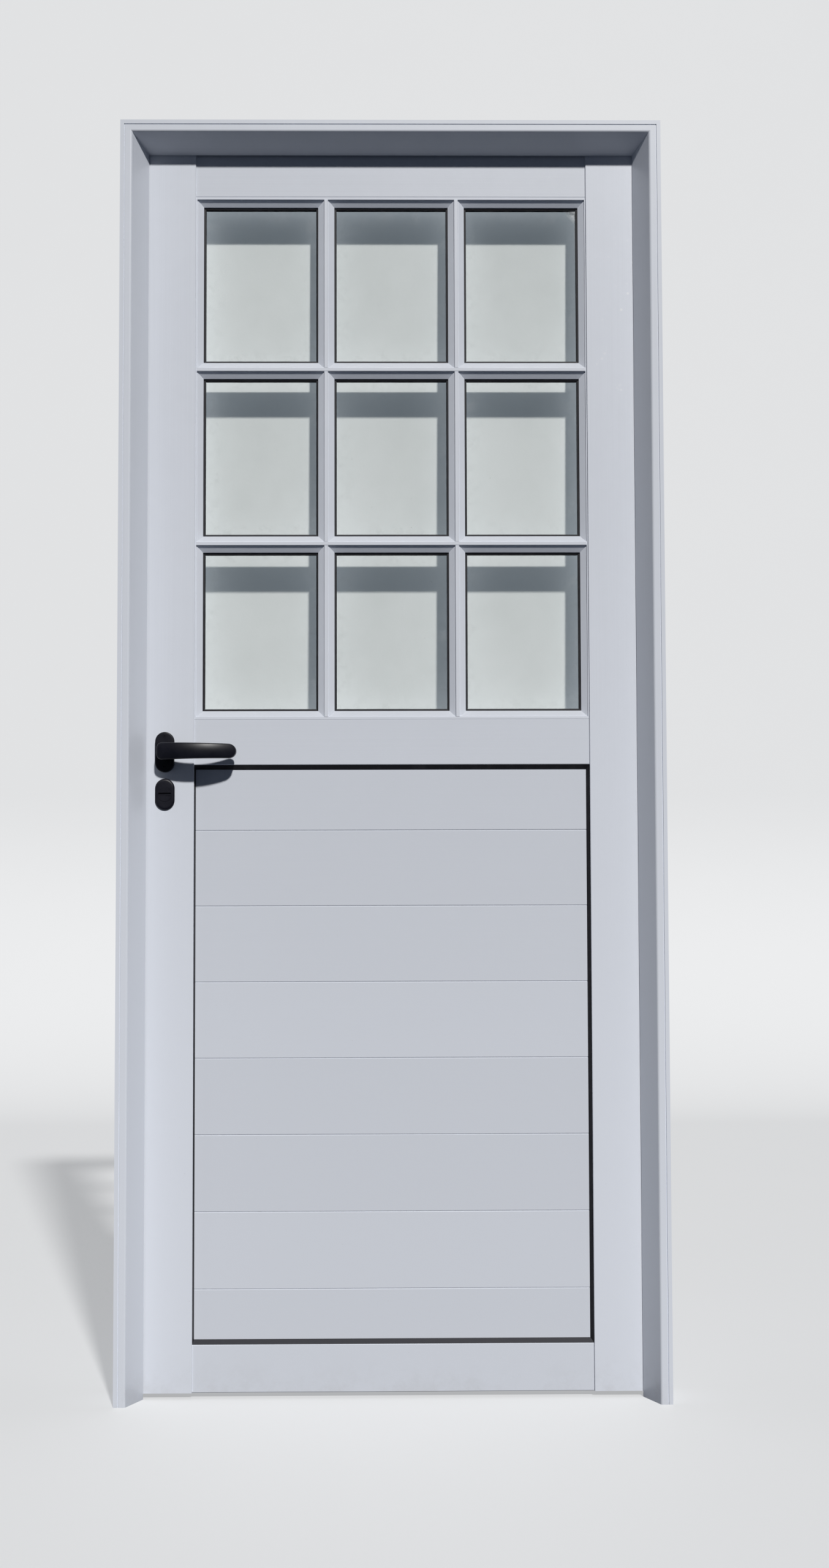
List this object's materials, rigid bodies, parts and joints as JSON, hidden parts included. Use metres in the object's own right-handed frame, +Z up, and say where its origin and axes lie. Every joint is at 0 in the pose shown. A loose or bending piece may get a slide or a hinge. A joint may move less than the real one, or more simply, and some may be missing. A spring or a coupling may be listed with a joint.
{
  "type": "half-glazed hinged door with frame",
  "caption": "Single hinged door leaf with small panes above a lock rail and horizontal boards below, black lever and key plate, hung in a splayed three-sided frame.",
  "frame": {"origin": "centre of the bounding box on the floor, under the middle of the doorway", "axes": "+X across the opening towards the hinges, +Y through the opening the way the leaf swings, +Z up"},
  "size_m": [0.9, 0.143, 2.11],
  "materials": {
    "paint": "semi-gloss powder coat",
    "black": "satin powder coat",
    "steel": "satin",
    "aluminium": "mill",
    "gasket": "matt",
    "glass": "clear",
    "plastic": "matt"
  },
  "bodies": {
    "frame": {"frame_head": "paint", "jamb_lock": "paint", "jamb_hinge": "paint", "corner_cleats": "aluminium", "stop_gasket": "gasket", "strike_plate": "steel", "strike_screws": "steel", "hinge_frame_half": "paint", "hinge_pins": "steel", "hinge_caps": "paint", "hinge_screws_frame": "steel"},
    "leaf": {"hinge_leaf_half": "paint", "hinge_screws_leaf": "steel", "stile_lock": "paint", "stile_hinge": "paint", "rail_top": "paint", "rail_lock": "paint", "rail_bottom": "paint", "rail_connectors": "aluminium", "connector_screws": "steel", "glazing_lining": "paint", "bars_across": "paint", "bars_upright": "paint", "beads_outer": "paint", "beads_inner": "paint", "glazing_gaskets_outer": "gasket", "glazing_gaskets_inner": "gasket", "glass_panes": "glass", "setting_blocks": "plastic", "panel_boards": "paint", "panel_gasket_outer": "gasket", "panel_gasket_inner": "gasket", "panel_beads_inner": "paint", "lock_case": "steel", "lock_faceplate": "steel", "lock_brackets": "steel", "lock_screws": "steel", "rose_outer": "black", "rose_inner": "black", "rose_bolts": "steel", "key_plate_outer": "black", "key_plate_inner": "black"},
    "lever": {"lever_outer": "black", "lever_inner": "black", "lever_grub_screws": "steel", "spindle": "steel", "follower": "steel"},
    "latch": {"latch_bolt": "steel"},
    "deadbolt": {"dead_bolt": "steel"},
    "rotor": {"key_rotor": "steel"}
  },
  "joints": [
    {"name": "leaf_hinge", "type": "hinge", "parent": "frame", "child": "leaf", "pos_m": [0.419, 0.0335, 1], "axis": [0, 0, -1], "range_deg": [0, 100]},
    {"name": "lever_turn", "type": "hinge", "parent": "leaf", "child": "lever", "pos_m": [-0.377, 0, 1.057], "axis": [0, 1, 0], "range_deg": [0, 45], "stiffness_Nm_per_rad": 1.2, "springref_deg": -28.65},
    {"name": "latch_slide", "type": "slide", "parent": "leaf", "child": "latch", "axis": [1, 0, 0], "range_m": [0, 0.011]},
    {"name": "key_turn", "type": "hinge", "parent": "leaf", "child": "rotor", "pos_m": [-0.377, 0, 0.987], "axis": [0, 1, 0], "range_deg": [0, 90]},
    {"name": "bolt_slide", "type": "slide", "parent": "leaf", "child": "deadbolt", "axis": [-1, 0, 0], "range_m": [0, 0.02]}
  ],
  "couplings": [
    {"joint": "latch_slide", "follows": "lever_turn", "m_per_rad": 0.014},
    {"joint": "bolt_slide", "follows": "key_turn", "m_per_rad": 0.0127}
  ]
}
